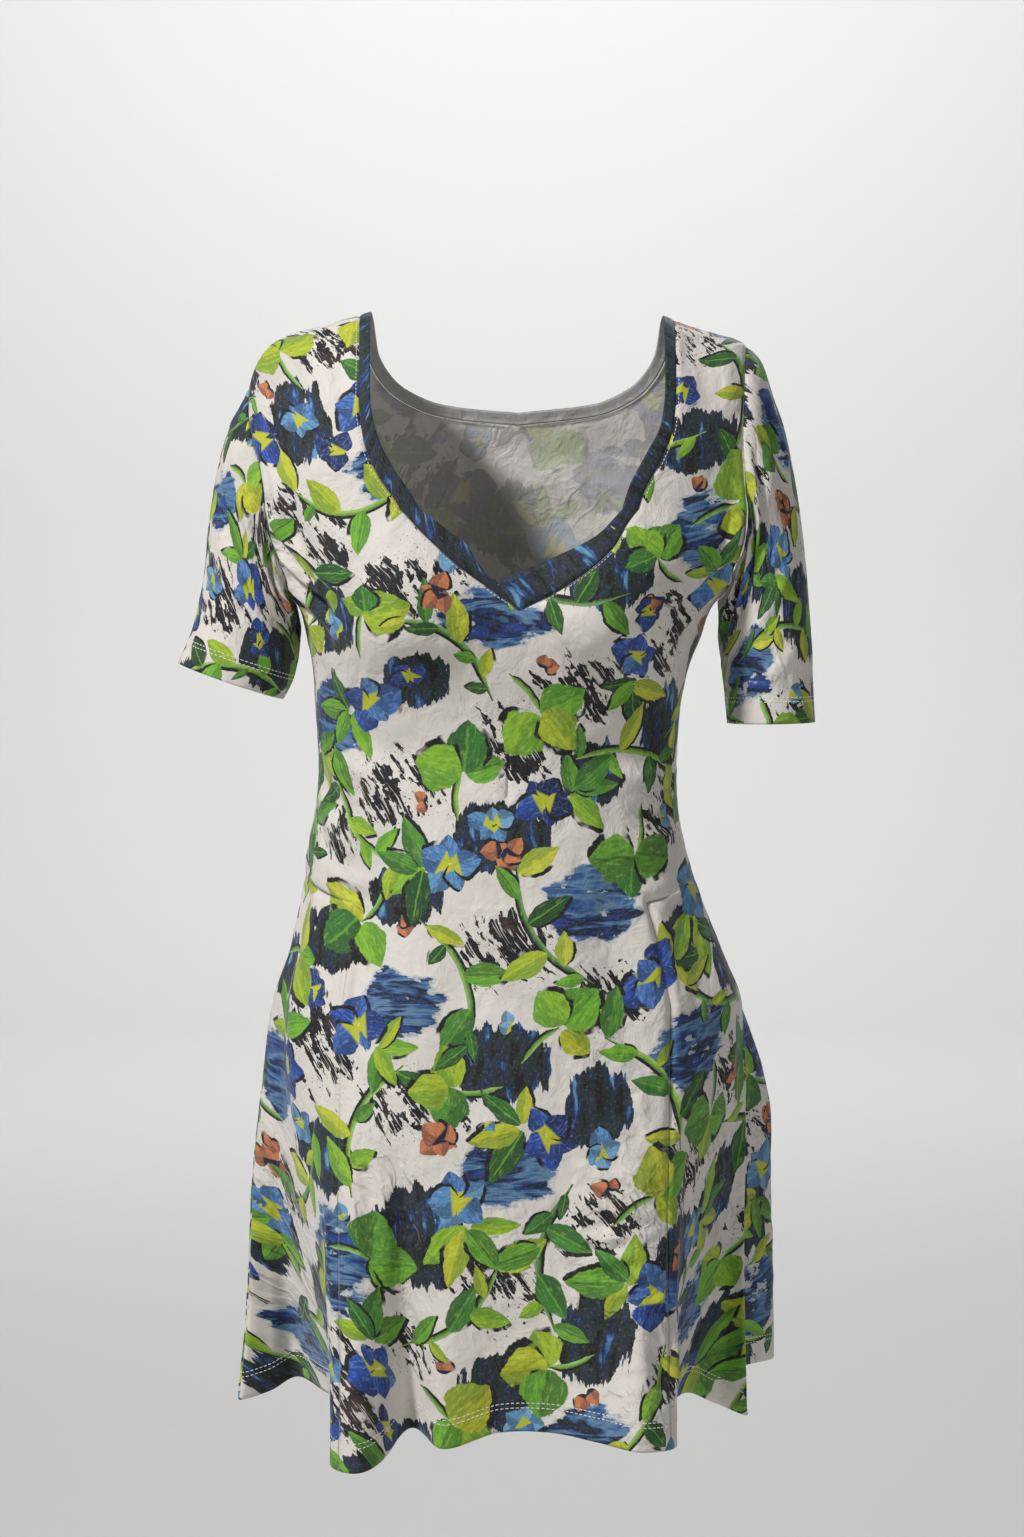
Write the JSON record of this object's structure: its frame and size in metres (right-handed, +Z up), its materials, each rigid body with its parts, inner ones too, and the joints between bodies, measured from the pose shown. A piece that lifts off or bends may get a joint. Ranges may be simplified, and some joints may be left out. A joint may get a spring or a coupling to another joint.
{
  "type": "fit-and-flare jersey dress",
  "caption": "Short jersey dress with a V neck, short sleeves, a close bodice and a flared, folded skirt, standing open as it is worn.",
  "frame": {"origin": "midway between the side seams at the height where the neckline crosses the shoulder seams, where the dress hangs from its wearer", "axes": "+Z up, the front of the dress faces -Y, +X towards the wearer's left"},
  "size_m": [0.4765, 0.366, 0.8335],
  "materials": {
    "printed_jersey": "soft printed cotton and viscose jersey, off-white with black, green and blue",
    "band_jersey": "the same jersey, folded double for the neck band"
  },
  "bodies": {
    "root": {"front": "printed_jersey", "back": "printed_jersey", "side_skirt_right": "printed_jersey", "side_skirt_left": "printed_jersey", "sleeve_right": "printed_jersey", "sleeve_left": "printed_jersey", "neck_band_right": "band_jersey", "neck_band_left": "band_jersey", "neck_band_back": "band_jersey"}
  },
  "joints": []
}
